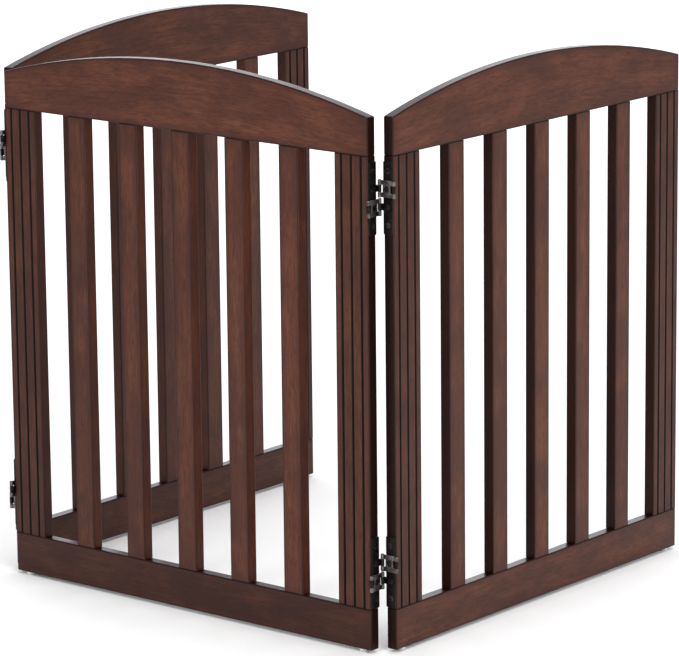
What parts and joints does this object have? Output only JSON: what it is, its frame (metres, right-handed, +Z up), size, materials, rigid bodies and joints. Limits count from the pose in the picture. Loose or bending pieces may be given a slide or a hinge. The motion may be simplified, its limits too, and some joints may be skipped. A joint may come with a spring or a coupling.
{
  "type": "pet gate",
  "caption": "Free-standing folding gate of slatted wooden panels with arched top rails, joined by double-action screen hinges that let the side panels fold in or out.",
  "frame": {"origin": "on the floor, at the middle of the footprint in the U-shaped rest pose", "axes": "+X along the middle panel, towards the right-hand side panel; +Y from the middle panel towards the free ends of the side panels; +Z up"},
  "size_m": [0.5574, 0.5336, 0.6035],
  "materials": {
    "walnut": "dark walnut stain under satin lacquer",
    "dowel_wood": "bare beech",
    "leaf_steel": "black oxide",
    "link_steel": "bronzed steel",
    "pin_steel": "bronzed steel",
    "screw_steel": "black oxide",
    "glide_plastic": "translucent white",
    "nail_steel": "plain"
  },
  "bodies": {
    "middle_panel": {"middle_top_rail": "walnut", "middle_bottom_rail": "walnut", "middle_left_stile": "walnut", "middle_right_stile": "walnut", "middle_slat_1": "walnut", "middle_slat_2": "walnut", "middle_slat_3": "walnut", "middle_slat_4": "walnut", "middle_slat_5": "walnut", "middle_dowels": "dowel_wood", "middle_glides": "glide_plastic", "middle_glide_nails": "nail_steel", "middle_screws": "screw_steel", "right_upper_hinge_middle_leaf": "leaf_steel", "right_lower_hinge_middle_leaf": "leaf_steel", "left_upper_hinge_middle_leaf": "leaf_steel", "left_lower_hinge_middle_leaf": "leaf_steel"},
    "right_inner_links": {"right_upper_hinge_inner_link": "link_steel", "right_lower_hinge_inner_link": "link_steel", "right_inner_link_pins": "pin_steel"},
    "right_outer_links": {"right_upper_hinge_outer_link": "link_steel", "right_lower_hinge_outer_link": "link_steel", "right_outer_link_pins": "pin_steel"},
    "right_panel": {"right_top_rail": "walnut", "right_bottom_rail": "walnut", "right_hinge_stile": "walnut", "right_free_stile": "walnut", "right_slat_1": "walnut", "right_slat_2": "walnut", "right_slat_3": "walnut", "right_slat_4": "walnut", "right_slat_5": "walnut", "right_dowels": "dowel_wood", "right_glides": "glide_plastic", "right_glide_nails": "nail_steel", "right_screws": "screw_steel", "right_upper_hinge_side_leaf": "leaf_steel", "right_lower_hinge_side_leaf": "leaf_steel"},
    "left_inner_links": {"left_upper_hinge_inner_link": "link_steel", "left_lower_hinge_inner_link": "link_steel", "left_inner_link_pins": "pin_steel"},
    "left_outer_links": {"left_upper_hinge_outer_link": "link_steel", "left_lower_hinge_outer_link": "link_steel", "left_outer_link_pins": "pin_steel"},
    "left_panel": {"left_top_rail": "walnut", "left_bottom_rail": "walnut", "left_hinge_stile": "walnut", "left_free_stile": "walnut", "left_slat_1": "walnut", "left_slat_2": "walnut", "left_slat_3": "walnut", "left_slat_4": "walnut", "left_slat_5": "walnut", "left_dowels": "dowel_wood", "left_glides": "glide_plastic", "left_glide_nails": "nail_steel", "left_screws": "screw_steel", "left_upper_hinge_side_leaf": "leaf_steel", "left_lower_hinge_side_leaf": "leaf_steel"}
  },
  "joints": [
    {"name": "right_fold_in", "type": "hinge", "parent": "middle_panel", "child": "right_inner_links", "pos_m": [0.2582, -0.24635, 0.0035], "axis": [0, 0, -1], "range_deg": [-90, 90]},
    {"name": "right_fold_out", "type": "hinge", "parent": "right_inner_links", "child": "right_panel", "pos_m": [0.2767, -0.24635, 0.0035], "axis": [0, 0, -1], "range_deg": [0, 90]},
    {"name": "right_outer_links_turn", "type": "hinge", "parent": "middle_panel", "child": "right_outer_links", "pos_m": [0.2582, -0.26485, 0.0035], "axis": [0, 0, -1], "range_deg": [0, 90]},
    {"name": "left_fold_in", "type": "hinge", "parent": "middle_panel", "child": "left_inner_links", "pos_m": [-0.2582, -0.24635, 0.0035], "axis": [0, 0, 1], "range_deg": [0, 90]},
    {"name": "left_fold_out", "type": "hinge", "parent": "left_inner_links", "child": "left_panel", "pos_m": [-0.2767, -0.24635, 0.0035], "axis": [0, 0, 1], "range_deg": [0, 180]},
    {"name": "left_outer_links_turn", "type": "hinge", "parent": "middle_panel", "child": "left_outer_links", "pos_m": [-0.2582, -0.26485, 0.0035], "axis": [0, 0, 1], "range_deg": [0, 180]}
  ],
  "couplings": [
    {"joint": "right_outer_links_turn", "follows": "right_fold_out", "ratio": 1},
    {"joint": "left_outer_links_turn", "follows": "left_fold_out", "ratio": 1}
  ]
}
